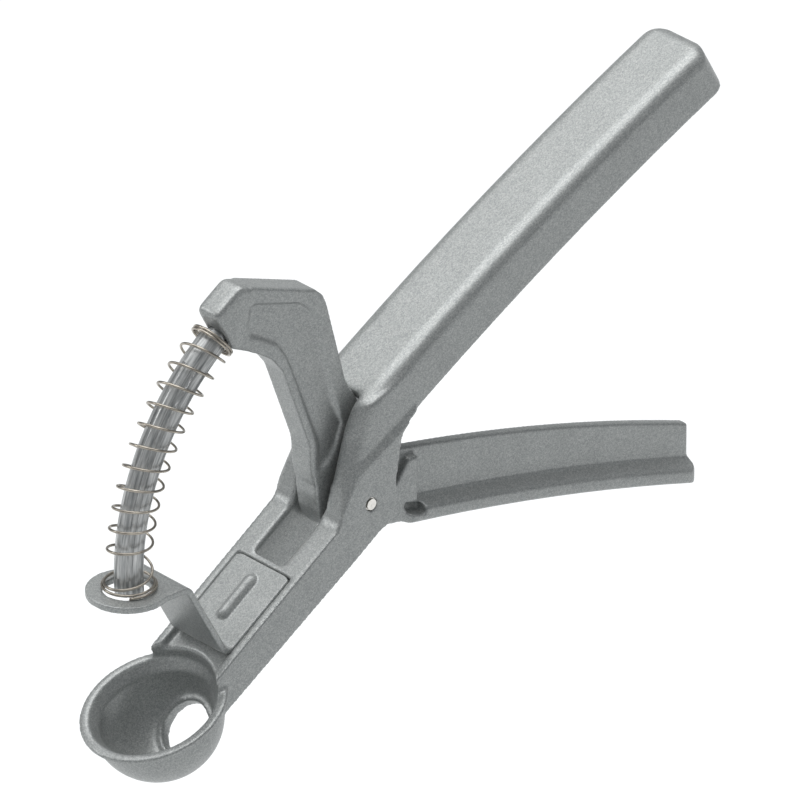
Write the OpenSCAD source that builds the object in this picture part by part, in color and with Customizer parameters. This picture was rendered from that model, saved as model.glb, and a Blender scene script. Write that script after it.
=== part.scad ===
// Hand pitter: two castings hinged on one pin, a curved fluted punch with its return spring,
// and a bent stripper plate over the fruit cup. Millimetres, +Z up, closed along +Y symmetry.
// Profiles are drawn about the pivot and moved as one to the row frame at the end.

/* [Pivot] */
// Radius of the pivot pin
pin_r = 1.5; // [1.3:0.05:1.7]
// Radial running clearance of the hub on the pin
pin_gap = 0.05; // [0.03:0.01:0.1]
// Radius of the lever's hub
hub_r = 8.8; // [8.2:0.1:9]
// Half thickness of the lever's arm
arm_half = 3.35; // [2.8:0.05:3.4]
// Half width of the slot between the cheeks
slot_half = 4.75; // [4.5:0.05:5]
// Half length of the lever's hub
hub_half = 4.5; // [4:0.05:4.5]

/* [Frame casting] */
// Half width of the lower body and cheeks
body_half = 10.4; // [10:0.1:10.8]
// Direction of the lower body in degrees above the horizon
body_angle = 34; // [32:0.5:36]
// Top of the lower body above its axis
body_top = 4.25; // [4:0.05:4.5]
// Bottom of the lower body below its axis
body_bottom = 5.9; // [5.6:0.1:6.3]
// Length of the lower body from the pivot into the cup
body_len = 56; // [55:0.5:57]
// Lower end of the slot, measured from the pivot
slot_end = 22.4; // [20:0.1:22.6]
// Depth of the recess for the stripper's foot
recess_depth = 1.4; // [1.2:0.1:1.6]
// Half width of the recess
recess_half = 8.35; // [8.25:0.05:8.6]
// Half width of the upper handle
handle_half = 9.2; // [8.8:0.1:9.6]
// Direction of the upper handle
handle_angle = 29; // [28:0.25:30]
// Radius of the upper handle's arched top
handle_r = 750; // [700:10:800]
// Depth of the upper handle
handle_depth = 11.8; // [11.2:0.1:12.4]
// Rounding of the upper handle's top edges
handle_edge_r = 3.3; // [2.5:0.1:3.5]
// Wall of the upper handle's channel
handle_wall = 2.2; // [1.8:0.1:2.6]

/* [Cup] */
// Outer radius of the bowl
cup_r = 14.3; // [14.2:0.1:15]
// Inner radius of the bowl
cup_inner_r = 12.5; // [12:0.1:12.8]
// Outer radius of the rim
rim_r = 16.3; // [15.8:0.1:16.8]
// Height of the rim above the bowl's centre
rim_up = 2.7; // [2.4:0.1:3]
// Thickness of the rim
rim_t = 1.3; // [1.1:0.1:1.6]
// Lean of the cup towards the body
cup_tilt = 22; // [20:0.5:24]
// Radius of the stone's way out
exit_r = 6; // [5.2:0.1:6.1]

/* [Lever] */
// Half thickness of the handle's web
web_half = 1.3; // [1.1:0.1:1.8]
// Half width of the handle's bottom flange
flange_half = 4.9; // [4.4:0.1:5.4]
// Thickness of the flange at its edge
flange_t = 3.2; // [2.8:0.1:3.6]
// Depth of the panels in the arm's sides
panel_depth = 0.8; // [0.5:0.1:1.1]

/* [Punch] */
// Radius of the punch's arc about the pivot
punch_arc = 58.4; // [58:0.1:58.8]
// Radius of the punch
punch_r = 3.1; // [2.8:0.05:3.3]
// Number of flutes
flutes = 7; // [5:1:9]
// Radius of each flute
flute_r = 0.75; // [0.5:0.05:0.9]
// Radius of the spigot in the arm's boss
spigot_r = 2; // [1.8:0.05:2.2]

/* [Spring] */
// Wire diameter
wire_d = 0.58; // [0.5:0.02:0.62]
// Mean coil diameter
coil_d = 9.4; // [9.2:0.05:9.5]

/* [Stripper plate] */
// Thickness of the sheet
sheet_t = 1.4; // [1.2:0.1:1.4]
// Radius of the round end
disc_r = 8.85; // [8.6:0.05:9.2]
// Half width of the strip and foot
strip_half = 8.15; // [7.8:0.05:8.15]
// Radius of the punch's hole
hole_r = 5.3; // [5.2:0.05:5.5]

/* [Hidden] */
$fn = 64;
fine = 720;
// Drawing origin's place in the row frame, which has its origin under the middle of the box
pivot_x = -15.95;
pivot_z = 48.9;
// Pin's place about the drawing origin, which lies on the middle line of the lower body
pin_at = [-1.26, 0.99];
cheek_r = 7.4;
pin_neck = 0.6;
// Upper handle, along its own direction: middle of the arch, its peak, root and end
arch_u = 55;
arch_n = 22.4;
handle_u0 = 10;
handle_u1 = 120.5;
handle_centre_n = arch_n - handle_r;
handle_a0 = 90 - asin((handle_u1 - arch_u) / handle_r);
handle_a1 = 90 - asin((handle_u0 - arch_u) / handle_r);
// Cheeks: level at which they narrow, direction and bevel of their front edges
ease_n = 9.8;
front_angle = 72.3;
bevel_rise = 9;
bevel_depth = 2.5;
// Body's recess and the cup's centre
recess_end = 23.85;
cup_x = -52.3;
cup_z = -34.6;
exit_angle = 38;
exit_out = 12.8;
exit_wall = 3;
// Lever's arcs
web_c = [-90, -526.7];
web_r = 542;
flange_c = [-86.6, -623.5];
flange_r = 620;
flange_crease = 5;
flange_a0 = 72.8;
flange_a1 = 80.65;
lever_end = 97.8;
// Angles along the punch's arc
boss_a = 118.4;
face_a = 125.3;
flute_a = 133.8;
tip_a = 183.5;
// Spring: closed coils at the boss, open coils, then the flared ones on the plate, in degrees
spring_a0 = 126.1;
close_step = 0.6;
close_turns = 2;
open_step = 4.325;
open_turns = 11;
flare_turns = 2.6;
flare_rest = 0.9;
flare_lay = 0.8;
flare_r = 1.2;
spring_a2 = 182.25;
spring_phase = 93;
spring_steps = 16;
// Stripper's faces
plate_z = -1.9;
plate_x = -60;
bend_x = -49.8;
foot_u = -44.35;
foot_end = -24;
bead_u = -28.6;
bead_len = 8.8;

module slab(w) {
    rotate([90, 0, 0])
        linear_extrude(height = w, center = true)
            children();
}

module along_body() {
    rotate([0, -body_angle, 0])
        children();
}

module at_pin() {
    translate([pin_at[0], 0, pin_at[1]])
        children();
}

module along_handle() {
    rotate([0, -handle_angle, 0])
        children();
}

module at_cup() {
    translate([cup_x, 0, cup_z])
        rotate([0, -cup_tilt, 0])
            children();
}

// Sweep of a section about an axis along Y, from angle a0 to a1 above +X
module arc_sweep(a0, a1) {
    rotate([90, 0, 0])
        rotate([0, 0, a0])
            rotate_extrude(angle = a1 - a0, $fn = fine)
                children();
}

// ---- Frame casting
module cheek_outline() {
    offset(r = -5)
        offset(r = 5)
            union() {
                offset(r = 3)
                    offset(r = -3)
                        polygon([
                            [-1.95, 23.2], [-4.6, 18], [-6.6, 11], [-7.7, 7], [-9.45, 0.75], [-9, -6],
                            [4, -6], [5.3, 1], [5.54, 2.5], [6.94, 11.2], [7.7, 15], [12.4, 18.5],
                            [12.5, 28]
                        ]);
                translate(pin_at)
                    circle(r = cheek_r);
                body_outline();
            }
}

// Lower body, a little shallower towards the cup
module body_outline() {
    rotate(body_angle)
        polygon([
            [-body_len, 1.35 - body_bottom], [-10, -body_bottom], [0, -body_bottom],
            [0, body_top], [-body_len, body_top]
        ]);
}

// Full width up to the handle's underside line, then easing to the handle's width
module width_section() {
    polygon([
        [-body_half, -60], [body_half, -60], [body_half, ease_n],
        [handle_half + 0.1, ease_n + 1.6], [handle_half + 0.1, 60],
        [-handle_half - 0.1, 60], [-handle_half - 0.1, ease_n + 1.6],
        [-body_half, ease_n]
    ]);
}

// Bevel of the cheeks' front edges, growing up from the body and then even
module cheek_bevel() {
    for (side = [-1, 1])
        translate([-9.45, side * body_half, 0.75])
            rotate([0, 90 - front_angle, 0])
                rotate([0, 0, side * 135])
                    intersection() {
                        rotate([0, -bevel_rise, 0])
                            translate([0, -20, -4])
                                cube([20, 40, 60]);
                        translate([-bevel_depth, -20, -4])
                            cube([20, 40, 60]);
                    }
}

module body_block() {
    difference() {
        intersection() {
            slab(2 * body_half)
                cheek_outline();
            along_handle()
                rotate([90, 0, 90])
                    linear_extrude(height = 180, center = true)
                        width_section();
        }
        cheek_bevel();
    }
}

module handle_section(depth, half, edge) {
    translate([handle_r - depth, -half])
        square([depth - edge, 2 * half]);
    translate([handle_r - depth, -half + edge])
        square([depth, 2 * half - 2 * edge]);
    for (side = [-1, 1])
        translate([handle_r - edge, side * (half - edge)])
            circle(r = edge);
}

module upper_handle() {
    along_handle()
        translate([arch_u, 0, handle_centre_n])
            intersection() {
                arc_sweep(handle_a0, handle_a1)
                    handle_section(handle_depth, handle_half, handle_edge_r);
                translate([handle_u0 - arch_u - 5, 0, handle_r - 30])
                    linear_extrude(height = 40)
                        offset(r = 3.5)
                            translate([3.5, 3.5 - handle_half])
                                square([handle_u1 - handle_u0 - 2, 2 * handle_half - 7]);
            }
}

module handle_channel() {
    along_handle()
        translate([arch_u, 0, handle_centre_n])
            arc_sweep(handle_a0 + 0.2, handle_a1 - 0.64)
                translate([handle_r - handle_depth - 1, -handle_half + handle_wall])
                    square([handle_depth + 1 - handle_wall, 2 * (handle_half - handle_wall)]);
}

module slot_space() {
    slab(2 * slot_half)
        difference() {
            union() {
                polygon([[-1.8, 28.2], [5.3, 15.6], [5.3, -30], [-60, -30], [-60, 60], [-19, 60]]);
                circle(r = 21.5);
            }
            rotate(body_angle)
                translate([-80 - slot_end, -30])
                    square([80, 40]);
        }
}

module body_hollows() {
    along_body() {
        translate([-60, -recess_half, body_top - recess_depth])
            cube([60 - recess_end, 2 * recess_half, 20]);
        translate([-44, -body_half + 2.4, -body_bottom - 1])
            cube([44 - recess_end - 0.5, 2 * body_half - 4.8, body_bottom + body_top - recess_depth - 1.4]);
    }
}

module cup_outside() {
    at_cup()
        rotate_extrude()
            difference() {
                union() {
                    intersection() {
                        circle(r = cup_r);
                        translate([0, -20])
                            square([20, 20 + rim_up]);
                    }
                    translate([0, rim_up - rim_t])
                        square([rim_r - rim_t / 2, rim_t]);
                    translate([rim_r - rim_t / 2, rim_up - rim_t / 2])
                        circle(r = rim_t / 2);
                }
                translate([-40, -40])
                    square([40, 80]);
            }
}

// The bowl's inside, with a flat floor where the stone goes out
module cup_inside() {
    difference() {
        at_cup()
            rotate_extrude()
                difference() {
                    union() {
                        circle(r = cup_inner_r);
                        polygon([
                            [0, 0], [cup_inner_r, 0], [rim_r - 2.1, rim_up], [rim_r - 1.3, rim_up + 6],
                            [rim_r - 0.6, rim_up + 20], [0, rim_up + 20]
                        ]);
                    }
                    translate([-40, -40])
                        square([40, 80]);
                }
        at_exit()
            translate([0, 0, exit_out - exit_wall])
                cylinder(r = cup_inner_r, h = 10);
    }
}

// Along the line from the bowl's centre to the stone's way out
module at_exit() {
    translate([cup_x, 0, cup_z])
        rotate([0, 90 + exit_angle, 0])
            children();
}

module exit_cuts() {
    at_exit() {
        translate([0, 0, exit_out])
            cylinder(r = exit_r + 1.2, h = 10);
        translate([0, 0, exit_out - exit_wall - 2])
            cylinder(r = exit_r, h = exit_wall + 12);
    }
}

module frame_casting() {
    color([0.62, 0.64, 0.65])
        difference() {
            union() {
                body_block();
                upper_handle();
                cup_outside();
            }
            cup_inside();
            body_hollows();
            exit_cuts();
            slot_space();
            handle_channel();
            at_pin()
                rotate([90, 0, 0])
                    cylinder(r = pin_r, h = 40, center = true);
        }
}

// ---- Lever casting
module arm_outline() {
    offset(r = 1.5, $fn = 32)
        offset(r = -1.5)
            polygon([
                [-38.3, 54.8], [-30.9, 59.6], [-10.5, 52], [-8.3, 50], [-7.3, 47.8], [-2.1, 28],
                [-0.3, 24.8], [5, 15.5], [7.5, 4], [0, -5], [-8.7, -1.2], [-9, 7.6],
                [-19.3, 35.6], [-22.3, 39.5], [-26.5, 42.4], [-33.5, 45.7]
            ]);
}

module arm_panel() {
    offset(r = 1)
        offset(r = -1)
            polygon([
                [-29.6, 48], [-28, 54.6], [-14.6, 50.3], [-11.6, 47.6], [-5.6, 25.5], [-3, 18],
                [-6.9, 7.5], [-16.1, 32.9], [-18.6, 39], [-21.2, 42.8]
            ]);
}

module lower_plate() {
    polygon([
        [0, 0], [0, -8.8], [8.1, -10.4], [14.2, -11.4], [18.3, -12.2], [18.3, 2.9],
        [15.5, 2.9], [12.2, -1.7], [8, -1.7]
    ]);
}

module web_outline() {
    difference() {
        intersection() {
            translate(web_c)
                circle(r = web_r, $fn = fine);
            offset(r = 3)
                translate([9, -40])
                    square([lever_end - 12.4, 47]);
        }
        translate(flange_c)
            circle(r = flange_r + 1, $fn = fine);
    }
    polygon([[0, 0], [6, 6.2], [12, 5.2], [20, 3.9], [20, -10], [0, -6]]);
}

module flange_section() {
    offset(r = 1.1, $fn = 16)
        offset(delta = -1.1)
            polygon([
                [flange_r, -flange_half], [flange_r + flange_t, -flange_half],
                [flange_r + flange_crease, -web_half], [flange_r + flange_crease, web_half],
                [flange_r + flange_t, flange_half], [flange_r, flange_half]
            ]);
}

module lever_flange() {
    intersection() {
        translate([flange_c[0], 0, flange_c[1]])
            arc_sweep(flange_a0, flange_a1)
                flange_section();
        translate([0, 0, -60])
            linear_extrude(height = 120)
                offset(r = 3)
                    translate([17, 3 - flange_half])
                        square([lever_end - 20, 2 * flange_half - 6]);
    }
}

module lever_casting() {
    color([0.56, 0.58, 0.6])
        difference() {
            union() {
                slab(2 * arm_half) {
                    arm_outline();
                    translate(pin_at)
                        circle(r = hub_r);
                    lower_plate();
                }
                slab(2 * hub_half)
                    translate(pin_at)
                        circle(r = hub_r - 2);
                slab(2 * web_half)
                    web_outline();
                lever_flange();
            }
            for (side = [-1, 1]) {
                translate([0, side * (arm_half + 5 - panel_depth), 0])
                    slab(10)
                        difference() {
                            arm_panel();
                            translate(pin_at)
                                circle(r = hub_r + 0.8);
                        }
                translate([0, side * (web_half + 5.3), 0])
                    slab(10)
                        polygon([[14.3, -7.2], [19.2, -8.6], [19.2, -10.8], [14.9, -9.6]]);
            }
            at_pin() {
                rotate([90, 0, 0])
                    cylinder(r = pin_r + pin_gap, h = 40, center = true);
                arc_sweep(boss_a, 130)
                    translate([punch_arc, 0])
                        circle(r = spigot_r);
            }
        }
}

// ---- Punch
module flute_section() {
    for (k = [0 : flutes - 1])
        rotate(k * 360 / flutes)
            translate([punch_r + 0.25, 0])
                circle(r = flute_r, $fn = 24);
}

module punch() {
    color([0.5, 0.49, 0.52])
        at_pin()
            difference() {
                union() {
                    arc_sweep(boss_a, face_a + 3)
                        translate([punch_arc, 0])
                            circle(r = spigot_r);
                    arc_sweep(face_a + 0.45, tip_a)
                        translate([punch_arc, 0])
                            circle(r = punch_r);
                }
                arc_sweep(flute_a, tip_a + 1)
                    translate([punch_arc, 0])
                        flute_section();
            }
}

// ---- Return spring
turns = close_turns + open_turns + flare_turns;
open_a0 = spring_a0 + close_step * close_turns;
open_a1 = open_a0 + open_step * open_turns;

function flared(t) = max(0, t - close_turns - open_turns);

function coil_angle(t) =
    t < close_turns ? spring_a0 + close_step * t
    : t < close_turns + open_turns ? open_a0 + open_step * (t - close_turns)
    : open_a1 + (spring_a2 - flare_lay - open_a1) * sin(90 * min(1, flared(t) / flare_rest))
        + flare_lay * max(0, flared(t) - flare_rest) / (flare_turns - flare_rest);

function coil_r(t) = coil_d / 2 + flare_r * pow(flared(t) / flare_turns, 0.8);

function on_arc(a, r, spin) =
    [(punch_arc + r * cos(spin)) * cos(a), r * sin(spin), (punch_arc + r * cos(spin)) * sin(a)];

// Ring of wire points round place t of the coil: out across the coil and along the arc
function wire_ring(t, sides) =
    let (a = coil_angle(t), r = coil_r(t), spin = 360 * t + spring_phase)
    [for (k = [0 : sides - 1])
        let (w = 360 * k / sides, out = wire_d / 2 * cos(w), up = wire_d / 2 * sin(w))
        on_arc(a + up / punch_arc * 180 / PI, r + out, spin)];

module return_spring() {
    sides = 6;
    count = round(turns * spring_steps);
    rings = [for (i = [0 : count]) each wire_ring(i / spring_steps, sides)];
    walls = [for (i = [0 : count - 1], k = [0 : sides - 1])
        let (n = (k + 1) % sides)
        [i * sides + k, (i + 1) * sides + k, (i + 1) * sides + n, i * sides + n]];
    ends = [
        [for (k = [0 : sides - 1]) k],
        [for (k = [sides - 1 : -1 : 0]) count * sides + k]
    ];
    color([0.75, 0.72, 0.66])
        at_pin()
            polyhedron(points = rings, faces = concat(walls, ends), convexity = 8);
}

// ---- Stripper plate
module sheet_region() {
    c = cos(body_angle);
    s = sin(body_angle);
    corner = [foot_u * c - body_top * s, foot_u * s + body_top * c];
    tip = [10 * c - body_top * s, 10 * s + body_top * c];
    offset(r = -1.6)
        offset(r = 1.6)
            offset(r = 3)
                offset(r = -3)
                    polygon([[-100, plate_z], [bend_x, plate_z], corner, tip, [tip[0], -100], [-100, -100]]);
}

module sheet_profile() {
    intersection() {
        difference() {
            sheet_region();
            offset(r = -sheet_t)
                sheet_region();
        }
        translate([-75, -40])
            square([60, 60]);
    }
}

module stripper_plate() {
    color([0.6, 0.61, 0.62]) {
        difference() {
            intersection() {
                slab(2 * disc_r)
                    sheet_profile();
                translate([plate_x, 0, -60])
                    linear_extrude(height = 80) {
                        circle(r = disc_r);
                        translate([0, -strip_half])
                            square([60, 2 * strip_half]);
                    }
                along_body()
                    translate([0, 0, -60])
                        linear_extrude(height = 120)
                            offset(r = 2.5)
                                translate([-100, 2.5 - disc_r])
                                    square([100 + foot_end - 2.5, 2 * disc_r - 5]);
            }
            translate([plate_x, 0, -20])
                cylinder(r = hole_r, h = 40);
        }
        along_body()
            intersection() {
                foot_bead();
                translate([-60, -5, body_top - sheet_t / 2])
                    cube([60, 10, 5]);
            }
    }
}

// Pressed bead of the foot: a low skirt with a rounder bar on it
module foot_bead() {
    for (part = [[1.75, -0.55], [1.45, -0.1]])
        translate([bead_u, 0, body_top + part[1]])
            rotate([0, -90, 0]) {
                sphere(r = part[0]);
                cylinder(r = part[0], h = bead_len);
                translate([0, 0, bead_len])
                    sphere(r = part[0]);
            }
}

// ---- Pivot pin
module pivot_pin() {
    color([0.86, 0.86, 0.85])
        at_pin()
            rotate([90, 0, 0]) {
                cylinder(r = pin_r, h = 2 * (body_half - pin_neck), center = true);
                cylinder(r = pin_r - 0.27, h = 2 * body_half, center = true);
            }
}

translate([pivot_x, 0, pivot_z]) {
    frame_casting();
    lever_casting();
    punch();
    return_spring();
    stripper_plate();
    pivot_pin();
}
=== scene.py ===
import math
import bmesh
import bpy
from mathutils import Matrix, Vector
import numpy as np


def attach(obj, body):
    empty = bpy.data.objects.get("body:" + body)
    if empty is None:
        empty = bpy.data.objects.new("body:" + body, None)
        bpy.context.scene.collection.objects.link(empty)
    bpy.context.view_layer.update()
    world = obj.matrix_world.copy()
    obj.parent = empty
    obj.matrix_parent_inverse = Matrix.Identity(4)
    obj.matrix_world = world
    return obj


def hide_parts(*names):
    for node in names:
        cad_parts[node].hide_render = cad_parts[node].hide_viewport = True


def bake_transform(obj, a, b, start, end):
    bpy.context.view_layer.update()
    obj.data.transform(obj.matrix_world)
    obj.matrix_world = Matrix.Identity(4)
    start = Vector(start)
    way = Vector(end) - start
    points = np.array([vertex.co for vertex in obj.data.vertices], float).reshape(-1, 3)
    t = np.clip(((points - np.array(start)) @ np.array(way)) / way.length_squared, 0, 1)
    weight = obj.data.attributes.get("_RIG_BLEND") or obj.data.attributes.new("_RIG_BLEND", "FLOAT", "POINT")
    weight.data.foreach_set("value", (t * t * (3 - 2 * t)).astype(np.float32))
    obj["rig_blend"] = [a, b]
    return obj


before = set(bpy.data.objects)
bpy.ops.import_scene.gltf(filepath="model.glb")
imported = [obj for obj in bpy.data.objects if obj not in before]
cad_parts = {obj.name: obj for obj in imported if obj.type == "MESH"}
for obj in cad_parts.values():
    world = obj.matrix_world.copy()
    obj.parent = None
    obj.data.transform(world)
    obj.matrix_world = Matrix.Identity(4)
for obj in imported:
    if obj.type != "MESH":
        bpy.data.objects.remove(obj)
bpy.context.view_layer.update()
mm = 0.001
pinPlace = (-17.21, 0, 49.89)  # middle of the pivot pin, in mm
punchArc = 58.4  # radius of the punch's curve about the pin, in mm
pivot = Vector(pinPlace) * mm
origin = Vector((-15.95, 0, 48.9)) * mm  # the point that both castings' outlines are measured from
noiseLow, noiseHigh = 0.3, 0.7  # nearly all of a noise texture lies between these


def hexColour(text):
    # sRGB hex to the linear values that Blender's sockets take
    parts = [int(text[i:i + 2], 16) / 255 for i in (1, 3, 5)]
    return [p / 12.92 if p <= 0.04045 else ((p + 0.055) / 1.055) ** 2.4 for p in parts] + [1.0]


def addNode(tree, kind, settings=None, inputs=None):
    # one node with its settings; an input is a value or the (node, output) it is linked to
    node = tree.nodes.new(kind)
    for key, value in (settings or {}).items():
        setattr(node, key, value)
    for key, value in (inputs or {}).items():
        if isinstance(value, tuple) and isinstance(value[0], bpy.types.Node):
            tree.links.new(value[0].outputs[value[1]], node.inputs[key])
        else:
            node.inputs[key].default_value = value
    return node


def newMaterial(name):
    material = bpy.data.materials.new(name)
    material.use_nodes = True
    material.node_tree.nodes.clear()
    return material, material.node_tree


def dress(piece, material):
    piece.data.materials.clear()
    piece.data.materials.append(material)


# Silver-grey metal-flake coating, sprayed on a die casting: the eye sees a fine, weak sparkle
# on a soft satin ground, and slightly cloudy tones where the coat is thicker
coatInfo = {
    "dark": "#959898",
    "ground": "#A7AAA9",
    "bright": "#BCBEBC",
    "flakeMm": 0.22,  # real flakes are about 0.05 mm; drawn coarser, so that they show
    "cloudMm": 7.0,
    "cloudDark": 0.965,  # the cloud's tones multiply the colour
    "cloudBright": 1.03,
    "grainMm": 0.45,
    "grainDepthMm": 0.05,
    "grainStrength": 0.12,
    "smoothest": 0.36,  # roughness goes from the one to the other, flake by flake
    "roughest": 0.45,
    "metallic": 0.45,
}


def sprayedCoating(name, info):
    material, tree = newMaterial(name)
    place = addNode(tree, "ShaderNodeTexCoord")
    flakes = addNode(tree, "ShaderNodeTexVoronoi", {"feature": "F1"},
                     {"Vector": (place, "Object"), "Scale": 1 / (info["flakeMm"] * mm)})
    tones = addNode(tree, "ShaderNodeSeparateColor", None, {"Color": (flakes, "Color")})
    ramp = addNode(tree, "ShaderNodeValToRGB", None, {"Fac": (tones, "Red")})
    ramp.color_ramp.elements[0].color = hexColour(info["dark"])
    ramp.color_ramp.elements[1].color = hexColour(info["bright"])
    middle = ramp.color_ramp.elements.new(0.5)
    middle.color = hexColour(info["ground"])
    cloud = addNode(tree, "ShaderNodeTexNoise", None,
                    {"Vector": (place, "Object"), "Scale": 1 / (info["cloudMm"] * mm), "Detail": 3.0})
    shade = addNode(tree, "ShaderNodeMapRange", None,
                    {"Value": (cloud, "Fac"), "From Min": noiseLow, "From Max": noiseHigh,
                     "To Min": info["cloudDark"], "To Max": info["cloudBright"]})
    tint = addNode(tree, "ShaderNodeVectorMath", {"operation": "SCALE"},
                   {0: (ramp, "Color"), "Scale": (shade, "Result")})
    grain = addNode(tree, "ShaderNodeTexNoise", None,
                    {"Vector": (place, "Object"), "Scale": 1 / (info["grainMm"] * mm), "Detail": 2.0})
    bump = addNode(tree, "ShaderNodeBump", None,
                   {"Height": (grain, "Fac"), "Strength": info["grainStrength"],
                    "Distance": info["grainDepthMm"] * mm})
    shine = addNode(tree, "ShaderNodeMapRange", None,
                    {"Value": (tones, "Green"), "To Min": info["smoothest"], "To Max": info["roughest"]})
    paint = addNode(tree, "ShaderNodeBsdfPrincipled", None,
                    {"Base Color": (tint, "Vector"), "Metallic": info["metallic"],
                     "Roughness": (shine, "Result"), "Normal": (bump, "Normal")})
    addNode(tree, "ShaderNodeOutputMaterial", None, {"Surface": (paint, "BSDF")})
    return material


# Bare cast metal: the eye sees streaks along the punch's curve, its colour going from dark to bright between
# them
bareInfo = {
    "dark": "#8E9192",
    "bright": "#DEDFDE",
    "streakMm": 0.5,  # width of a streak, and its length along the curve
    "lengthMm": 6.0,
    "depthMm": 0.08,
    "strength": 0.25,
    "metallic": 0.55,
    "roughness": 0.36,
}


def bareCasting(name, info):
    material, tree = newMaterial(name)
    place = addNode(tree, "ShaderNodeTexCoord")
    centred = addNode(tree, "ShaderNodeVectorMath", {"operation": "SUBTRACT"},
                      {0: (place, "Object"), 1: pivot})
    # the pattern is laid out by the distance from the pin, by Y and by the way along the arc
    axes = addNode(tree, "ShaderNodeSeparateXYZ", None, {0: (centred, "Vector")})
    flat = addNode(tree, "ShaderNodeVectorMath", {"operation": "MULTIPLY"},
                   {0: (centred, "Vector"), 1: (1, 0, 1)})
    away = addNode(tree, "ShaderNodeVectorMath", {"operation": "LENGTH"}, {0: (flat, "Vector")})
    turn = addNode(tree, "ShaderNodeMath", {"operation": "ARCTAN2"}, {0: (axes, "Z"), 1: (axes, "X")})
    along = addNode(tree, "ShaderNodeMath", {"operation": "MULTIPLY"},
                    {0: (turn, "Value"), 1: punchArc * mm * info["streakMm"] / info["lengthMm"]})
    bent = addNode(tree, "ShaderNodeCombineXYZ", None,
                   {"X": (away, "Value"), "Y": (axes, "Y"), "Z": (along, "Value")})
    streak = addNode(tree, "ShaderNodeTexNoise", None,
                     {"Vector": (bent, "Vector"), "Scale": 1 / (info["streakMm"] * mm), "Detail": 3.0})
    ramp = addNode(tree, "ShaderNodeValToRGB", None, {"Fac": (streak, "Fac")})
    ramp.color_ramp.elements[0].position = noiseLow
    ramp.color_ramp.elements[0].color = hexColour(info["dark"])
    ramp.color_ramp.elements[1].position = noiseHigh
    ramp.color_ramp.elements[1].color = hexColour(info["bright"])
    bump = addNode(tree, "ShaderNodeBump", None,
                   {"Height": (streak, "Fac"), "Strength": info["strength"],
                    "Distance": info["depthMm"] * mm})
    metal = addNode(tree, "ShaderNodeBsdfPrincipled", None,
                    {"Base Color": (ramp, "Color"), "Metallic": info["metallic"],
                     "Roughness": info["roughness"], "Normal": (bump, "Normal")})
    addNode(tree, "ShaderNodeOutputMaterial", None, {"Surface": (metal, "BSDF")})
    return material


# Drawn steel, the spring's wire a little warmer and the pin ground bright: the eye sees a clean
# metal with a faint change of tone from its draw marks
wireInfo = {"dark": "#8E8880", "bright": "#BDB6AA", "roughness": 0.3, "spotMm": 2.0}
pinInfo = {"dark": "#D5D2CC", "bright": "#F0EEEA", "roughness": 0.35, "spotMm": 0.6}


def drawnSteel(name, info):
    material, tree = newMaterial(name)
    place = addNode(tree, "ShaderNodeTexCoord")
    tone = addNode(tree, "ShaderNodeTexNoise", None,
                   {"Vector": (place, "Object"), "Scale": 1 / (info["spotMm"] * mm), "Detail": 3.0})
    ramp = addNode(tree, "ShaderNodeValToRGB", None, {"Fac": (tone, "Fac")})
    ramp.color_ramp.elements[0].position = noiseLow
    ramp.color_ramp.elements[0].color = hexColour(info["dark"])
    ramp.color_ramp.elements[1].position = noiseHigh
    ramp.color_ramp.elements[1].color = hexColour(info["bright"])
    metal = addNode(tree, "ShaderNodeBsdfPrincipled", None,
                    {"Base Color": (ramp, "Color"), "Metallic": 1.0, "Roughness": info["roughness"]})
    addNode(tree, "ShaderNodeOutputMaterial", None, {"Surface": (metal, "BSDF")})
    return material


coating = sprayedCoating("SprayedMetalFlakeCoating", coatInfo)
punchMetal = bareCasting("BareDieCasting", bareInfo)
wireSteel = drawnSteel("DrawnSpringSteel", wireInfo)
pinSteel = drawnSteel("GroundPinSteel", pinInfo)
print("materials ready")


# Die castings and the pressed plate have no sharp edge: each is remeshed finely from its CAD
# solid and then smoothed, which rounds outer edges and fills inner corners alike. Before the
# smoothing a casting's close-set points are moved a little, where the real one is rounder
def fineCopy(node, voxel):
    # the CAD solid's loose triangles are merged in a copy, which is then remeshed
    mesh = bmesh.new()
    mesh.from_mesh(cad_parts[node].data)
    bmesh.ops.remove_doubles(mesh, verts=mesh.verts, dist=0.001 * mm)
    bmesh.ops.recalc_face_normals(mesh, faces=mesh.faces)
    data = bpy.data.meshes.new(node + "_merged")
    mesh.to_mesh(data)
    mesh.free()
    piece = bpy.data.objects.new(node + "_soft", data)
    bpy.context.scene.collection.objects.link(piece)
    remesh = piece.modifiers.new("remesh", "REMESH")
    remesh.mode = "VOXEL"
    remesh.voxel_size = voxel
    remesh.use_smooth_shade = True
    fine = bpy.data.meshes.new_from_object(piece.evaluated_get(bpy.context.evaluated_depsgraph_get()))
    piece.modifiers.clear()
    piece.data = fine
    return piece


def inBox(point, box):
    # a box gives its least and greatest x, then its least and greatest z
    return box[0] * mm < point.x < box[1] * mm and box[2] * mm < point.z < box[3] * mm


def softPiece(node, info, shape=None):
    piece = fineCopy(node, info["voxelMm"] * mm)
    if shape:
        for vert in piece.data.vertices:
            shape(vert.co, info)
    if "broadBox" in info:
        group = piece.vertex_groups.new(name="broad")
        group.add([v.index for v in piece.data.vertices if inBox(v.co, info["broadBox"])], 1.0, "REPLACE")
        wide = piece.modifiers.new("broad", "SMOOTH")
        wide.vertex_group = group.name
        wide.iterations = info["broadRounds"]
    soften = piece.modifiers.new("soften", "SMOOTH")
    soften.iterations = info["rounds"]
    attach(piece, info["body"])
    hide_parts(node)
    print(node, len(piece.data.polygons) * 2, "triangles")
    return piece


def alongSlope(point, slope):
    # distances along and square to a line through the origin that rises by the slope
    x, z = point.x - origin.x, point.z - origin.z
    c, s = math.cos(math.radians(slope)), math.sin(math.radians(slope))
    return x * c + z * s, z * c - x * s


def ease(value):
    value = min(1, max(0, value))
    return value * value * (3 - 2 * value)


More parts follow.
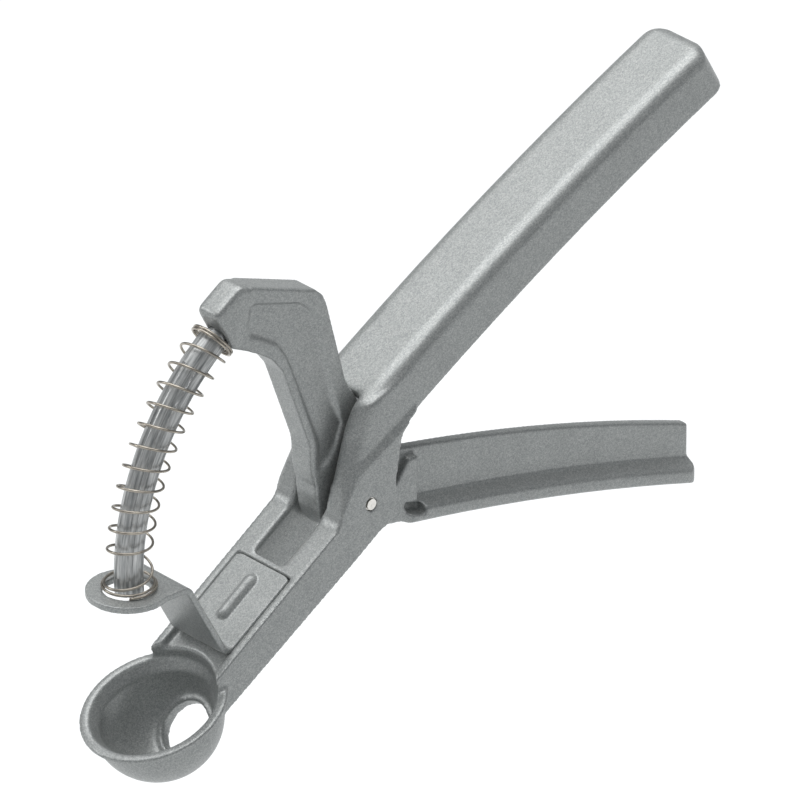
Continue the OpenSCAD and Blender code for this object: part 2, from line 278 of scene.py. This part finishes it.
def cornerCut(left, radius):
    # how far a round corner stands back where this much is left before the end
    return radius - math.sqrt(max(0, radius * radius - (radius - left) ** 2))


# Upper handle, cheeks, body and cup, in mm and degrees
frameInfo = {
    "body": "frame",
    "slot": "coated_casting",
    "voxelMm": 0.47,
    "rounds": 4,
    "broadBox": (-34, -13, 55, 82),  # front edges of the cheeks, between body and handle
    "broadRounds": 24,
    "handleSlope": 29,
    "handleEnd": 120.5,  # along that slope
    "handleTop": 22.4,  # square to it
    "handleDepth": 11.8,
    "handleHalf": 9.2,  # half its width
    "corner": 5.0,  # radius of the handle's end in plan, and at its crown
    "crown": 3.5,
    "bodySlope": 34,
    "gapStart": -5,  # the body's slot in front of the arm: its changes grow from here to gapFull
    "gapFull": -9,
    "gapEnd": -26,
    "gapTop": 5,  # they stay below this height
    "gapHalf": 4.75,  # half its width, and how far into its walls the changes fade
    "gapFade": 1.2,
    "narrow": 0.65,  # how far its near wall moves in
    "rim": 1.3,  # how far its lower edge goes down, below rimTop
    "rimTop": -2.5,
    "rimFade": 2.5,
}


def shapeFrame(point, info):
    # the handle's end is round in plan and at its crown
    u, n = alongSlope(point, info["handleSlope"])
    left = info["handleEnd"] * mm - u
    if u > 0 and left < info["corner"] * mm:
        point.y *= 1 - cornerCut(left, info["corner"] * mm) / (info["handleHalf"] * mm)
    if u > 0 and left < info["crown"] * mm:
        share = ease((n - (info["handleTop"] - info["handleDepth"]) * mm) / (info["handleDepth"] * mm))
        drop = cornerCut(left, info["crown"] * mm) * share
        point.x += drop * math.sin(math.radians(info["handleSlope"]))
        point.z -= drop * math.cos(math.radians(info["handleSlope"]))
    # the body's slot is a little narrower and deeper
    u, n = alongSlope(point, info["bodySlope"])
    u, n = u / mm, n / mm
    if info["gapEnd"] < u < info["gapStart"] and n < info["gapTop"]:
        inside = ease((info["gapStart"] - u) / (info["gapStart"] - info["gapFull"]))
        wall = 1 - ease((abs(point.y) / mm - info["gapHalf"]) / info["gapFade"])
        if point.y < 0:
            point.y += info["narrow"] * mm * wall * inside
        low = ease((info["rimTop"] - n) / info["rimFade"])
        point.z -= info["rim"] * mm * low * wall * inside


dress(softPiece("frame_casting", frameInfo, shapeFrame), coating)

# Lower handle, hub and arm, in mm
leverInfo = {
    "body": "lever",
    "slot": "coated_casting",
    "voxelMm": 0.34,
    "rounds": 8,
    "broadBox": (-90, -44, 92, 130),  # the head of the arm, which holds the punch
    "broadRounds": 60,
    "front": -9.0,  # the arm's front edge, which leans forward above the kink
    "kink": 7.6,
    "lean": 0.368,
    "push": 2.1,  # how far the front moves forward
    "band": 2.5,  # whole to this depth behind the front, then fading
    "bandFade": 4,
    "rise": 8,  # whole from this height above the origin up to keep, then fading
    "keep": 8,
    "fall": 9,
    "armHalf": 3.35,  # half the arm's thickness
    "hubReach": 10,
    "bossFrom": 3.2,  # the hub's bosses sink to the arm's side between these distances from the pin
    "bossFull": 4.2,
}


def shapeLever(point, info):
    # the arm's front stands a little further forward above the hub
    x, z = (point.x - origin.x) / mm, (point.z - origin.z) / mm
    front = info["front"] - info["lean"] * max(0, z - info["kink"])
    near = 1 - ease((x - front - info["band"]) / info["bandFade"])
    height = ease(z / info["rise"]) * (1 - ease((z - info["keep"]) / info["fall"]))
    point.x -= info["push"] * mm * near * height
    # the hub's bosses show only round the pin, so the arm runs down to a plain end
    off = Vector((point.x - pivot.x, point.z - pivot.z)).length / mm
    proud = abs(point.y) - info["armHalf"] * mm
    if proud > 0 and off < info["hubReach"]:
        flat = ease((off - info["bossFrom"]) / (info["bossFull"] - info["bossFrom"]))
        point.y -= math.copysign(proud * flat, point.y)


dress(softPiece("lever_casting", leverInfo, shapeLever), coating)

plateInfo = {"body": "frame", "slot": "coated_sheet", "voxelMm": 0.2, "rounds": 5}
dress(softPiece("stripper_plate", plateInfo), coating)
print("castings and plate ready")

# Return spring: one wire wound round the punch's arc. Angles are about the pivot pin, in degrees
springInfo = {
    "coil": 4.7,  # radius of the coils, to the middle of the wire
    "wire": 0.29,  # radius of the wire
    "first": 126.1,  # where it starts at the arm, and where it ends on the plate
    "last": 182.25,
    "closed": 2,  # turns, and degrees for each
    "closedStep": 0.6,
    "open": 11,
    "openStep": 4.325,
    "flare": 2.6,
    "grow": 1.2,  # how much wider the flare ends, and how soon
    "growPower": 0.8,
    "rest": 0.9,  # turns until the flare lies on the plate, and the degrees left for its end
    "lay": 0.8,
    "phase": 93,
    "steps": 48,  # rings in a turn, and points in a ring
    "sides": 12,
}


def coilPlace(turn, info):
    openFirst = info["first"] + info["closedStep"] * info["closed"]
    openLast = openFirst + info["openStep"] * info["open"]
    flared = max(0, turn - info["closed"] - info["open"])
    if turn < info["closed"]:
        angle = info["first"] + info["closedStep"] * turn
    elif flared == 0:
        angle = openFirst + info["openStep"] * (turn - info["closed"])
    else:
        drop = math.sin(math.pi / 2 * min(1, flared / info["rest"]))
        angle = openLast + (info["last"] - info["lay"] - openLast) * drop
        angle += info["lay"] * max(0, flared - info["rest"]) / (info["flare"] - info["rest"])
    return angle, info["coil"] + info["grow"] * (flared / info["flare"]) ** info["growPower"]


def arcPoint(angle, radius, spin):
    # a point at this radius and spin about the middle of the punch
    away = punchArc + radius * math.cos(spin)
    return Vector((pinPlace[0] + away * math.cos(math.radians(angle)), radius * math.sin(spin),
                   pinPlace[2] + away * math.sin(math.radians(angle)))) * mm


def returnSpring(info):
    mesh = bmesh.new()
    turns = info["closed"] + info["open"] + info["flare"]
    count = round(turns * info["steps"])
    rings, angles = [], []
    for i in range(count + 1):
        turn = i / info["steps"]
        angle, radius = coilPlace(turn, info)
        spin = 2 * math.pi * turn + math.radians(info["phase"])
        ring = []
        for k in range(info["sides"]):
            side = 2 * math.pi * k / info["sides"]
            lift = math.degrees(info["wire"] * math.sin(side) / punchArc)
            ring.append(mesh.verts.new(arcPoint(angle + lift, radius + info["wire"] * math.cos(side), spin)))
            angles.append(angle + lift)
        rings.append(ring)
    for a, b in zip(rings, rings[1:]):
        for k in range(info["sides"]):
            n = (k + 1) % info["sides"]
            mesh.faces.new((a[k], b[k], b[n], a[n])).smooth = True
    mesh.faces.new(rings[0])
    mesh.faces.new(rings[-1][::-1])
    bmesh.ops.recalc_face_normals(mesh, faces=mesh.faces)
    data = bpy.data.meshes.new("return_spring_wire")
    mesh.to_mesh(data)
    mesh.free()
    piece = bpy.data.objects.new("return_spring_wire", data)
    bpy.context.scene.collection.objects.link(piece)
    # the closed turns follow the lever whole, the flared one stays on the plate, and the open
    # coils between them close up evenly
    top = info["first"] + info["closedStep"] * info["closed"]
    foot = info["last"] - info["lay"]
    low = arcPoint(foot, 0, 0)
    high = arcPoint(top, 0, 0)
    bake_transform(piece, "frame", "lever", start=low, end=high)
    share = [min(1, max(0, (foot - a) / (foot - top))) for a in angles]
    data.attributes["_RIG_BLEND"].data.foreach_set("value", share)
    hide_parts("return_spring")
    return piece


dress(returnSpring(springInfo), wireSteel)
dress(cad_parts["punch"], punchMetal)
dress(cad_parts["pivot_pin"], pinSteel)
print("spring, punch and pin ready")

# Floor and backdrop in one, in metres. Its glow, for the camera and for what the metal reflects,
# makes it white round the object's shadow
stageInfo = {"drop": 0.11, "size": 3.0, "grey": "#ABADAE", "glow": 0.68}


def stageMaterial(info):
    material, tree = newMaterial("PaperSweep")
    rays = addNode(tree, "ShaderNodeLightPath")
    seen = addNode(tree, "ShaderNodeMath", {"operation": "MAXIMUM"},
                   {0: (rays, "Is Camera Ray"), 1: (rays, "Is Glossy Ray")})
    seen = addNode(tree, "ShaderNodeMath", {"operation": "MAXIMUM"},
                   {0: (seen, "Value"), 1: (rays, "Is Transmission Ray")})
    paper = addNode(tree, "ShaderNodeBsdfDiffuse", None, {"Color": hexColour(info["grey"])})
    glow = addNode(tree, "ShaderNodeEmission", None,
                   {"Color": hexColour("#FFFFFF"), "Strength": info["glow"]})
    both = addNode(tree, "ShaderNodeAddShader", None, {0: (paper, "BSDF"), 1: (glow, "Emission")})
    mix = addNode(tree, "ShaderNodeMixShader", None,
                  {"Fac": (seen, "Value"), 1: (paper, "BSDF"), 2: (both, "Shader")})
    addNode(tree, "ShaderNodeOutputMaterial", None, {"Surface": (mix, "Shader")})
    return material


floorMesh = bmesh.new()
bmesh.ops.create_grid(floorMesh, x_segments=4, y_segments=4, size=stageInfo["size"])
bmesh.ops.translate(floorMesh, verts=floorMesh.verts, vec=(0, 0, -stageInfo["drop"]))
floorData = bpy.data.meshes.new("floor")
floorMesh.to_mesh(floorData)
floorMesh.free()
floor = bpy.data.objects.new("floor", floorData)
bpy.context.scene.collection.objects.link(floor)
dress(floor, stageMaterial(stageInfo))

# The world lights softly from all round and looks white behind the object
worldInfo = {"fill": "#E8EBEE", "fillStrength": 0.32, "behind": "#FFFFFF", "behindStrength": 1.0}
world = bpy.data.worlds.new("Studio")
bpy.context.scene.world = world
world.use_nodes = True
tree = world.node_tree
tree.nodes.clear()
rays = addNode(tree, "ShaderNodeLightPath")
seen = addNode(tree, "ShaderNodeMath", {"operation": "MAXIMUM"},
               {0: (rays, "Is Camera Ray"), 1: (rays, "Is Transmission Ray")})
fill = addNode(tree, "ShaderNodeBackground", None,
               {"Color": hexColour(worldInfo["fill"]), "Strength": worldInfo["fillStrength"]})
white = addNode(tree, "ShaderNodeBackground", None,
                {"Color": hexColour(worldInfo["behind"]), "Strength": worldInfo["behindStrength"]})
mix = addNode(tree, "ShaderNodeMixShader", None,
              {"Fac": (seen, "Value"), 1: (fill, "Background"), 2: (white, "Background")})
addNode(tree, "ShaderNodeOutputWorld", None, {"Surface": (mix, "Shader")})

# Soft boxes in metres, a large one overhead and a small one on the camera's left
softBoxes = {
    "topBox": {"place": (0.0, 0.15, 1.2), "size": 1.4, "watts": 15.5},
    "leftBox": {"place": (-0.8, 0.86, 0.6), "size": 0.35, "watts": 2.4},
}
lampAim = Vector((0, 0, 0.06))
for name, info in softBoxes.items():
    lamp = bpy.data.lights.new(name, "AREA")
    lamp.shape = "SQUARE"
    lamp.size = info["size"]
    lamp.energy = info["watts"]
    holder = bpy.data.objects.new(name, lamp)
    holder.location = info["place"]
    holder.rotation_euler = (lampAim - Vector(info["place"])).to_track_quat("-Z", "Y").to_euler()
    bpy.context.scene.collection.objects.link(holder)
print("floor, world and lamps ready")

# Long lens from the front left, as in the photograph, in metres and degrees
cameraInfo = {
    "azimuth": -41.9,
    "elevation": 27.7,
    "target": (0.00003, 0, 0.06446),
    "width": 0.1678,  # what the picture spans at the target
    "distance": 3.5,
    "sensorMm": 36,
    "reach": 20,  # nothing further off than this is drawn
}
azimuth, elevation = math.radians(cameraInfo["azimuth"]), math.radians(cameraInfo["elevation"])
back = Vector((math.sin(azimuth) * math.cos(elevation), -math.cos(azimuth) * math.cos(elevation),
               math.sin(elevation)))
lens = bpy.data.cameras.new("camera")
lens.sensor_width = cameraInfo["sensorMm"]
lens.lens = cameraInfo["sensorMm"] * cameraInfo["distance"] / cameraInfo["width"]
lens.clip_end = cameraInfo["reach"]
camera = bpy.data.objects.new("camera", lens)
camera.location = Vector(cameraInfo["target"]) + back * cameraInfo["distance"]
camera.rotation_euler = (-back).to_track_quat("-Z", "Y").to_euler()
bpy.context.scene.collection.objects.link(camera)
bpy.context.scene.camera = camera
bpy.context.scene.view_settings.view_transform = "Standard"

print("scene ready")
